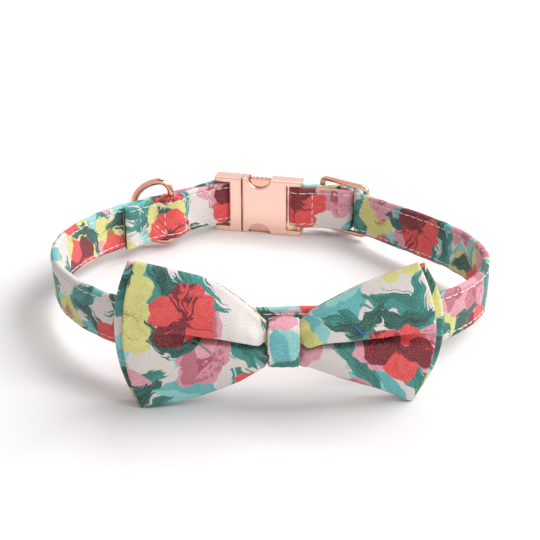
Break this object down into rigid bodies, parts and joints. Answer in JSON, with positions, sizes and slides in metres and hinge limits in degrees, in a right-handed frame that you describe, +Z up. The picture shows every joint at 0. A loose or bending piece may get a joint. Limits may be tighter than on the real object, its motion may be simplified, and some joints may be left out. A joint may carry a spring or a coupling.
{
  "type": "pet bow tie collar",
  "caption": "Printed cotton pet collar closed in a ring by a metal side-release buckle, with a D-shaped lead ring, a strap slider and a layered bow.",
  "frame": {"origin": "middle of the footprint, on the surface the collar rests on", "axes": "+X right, +Y from the bow to the buckle, +Z up: the ring stands on its edge with the neck opening facing up and down"},
  "size_m": [0.134, 0.1446, 0.0425],
  "materials": {
    "strap": "printed woven cotton, matte",
    "bow": "printed woven cotton, matte",
    "bow_back": "printed woven cotton, matte",
    "bow_knot": "printed woven cotton, matte",
    "pad": "plain woven cotton, matte",
    "buckle": "rose gold plating, satin",
    "buttons": "rose gold plating, bright",
    "slider_and_ring": "rose gold plating, bright"
  },
  "bodies": {
    "collar": {"strap": "strap", "buckle_tongue": "buckle", "buckle_housing": "buckle", "slider": "slider_and_ring", "bow_front_layer": "bow", "bow_back_layer": "bow_back", "bow_knot": "bow_knot", "bow_pad": "pad"},
    "button_upper": {"button_upper": "buttons"},
    "button_lower": {"button_lower": "buttons"},
    "d_ring": {"d_ring": "slider_and_ring"}
  },
  "joints": [
    {"name": "button_upper_press", "type": "slide", "parent": "collar", "child": "button_upper", "axis": [0, 0, -1], "range_m": [0, 0.0013], "stiffness_N_per_m": 400},
    {"name": "button_lower_press", "type": "slide", "parent": "collar", "child": "button_lower", "axis": [0, 0, 1], "range_m": [0, 0.0013], "stiffness_N_per_m": 400},
    {"name": "d_ring_swing", "type": "hinge", "parent": "collar", "child": "d_ring", "pos_m": [-0.03411, 0.05102, 0.01267], "axis": [-0.0276, 0.0365, 0.999], "range_deg": [-90, 13]}
  ]
}
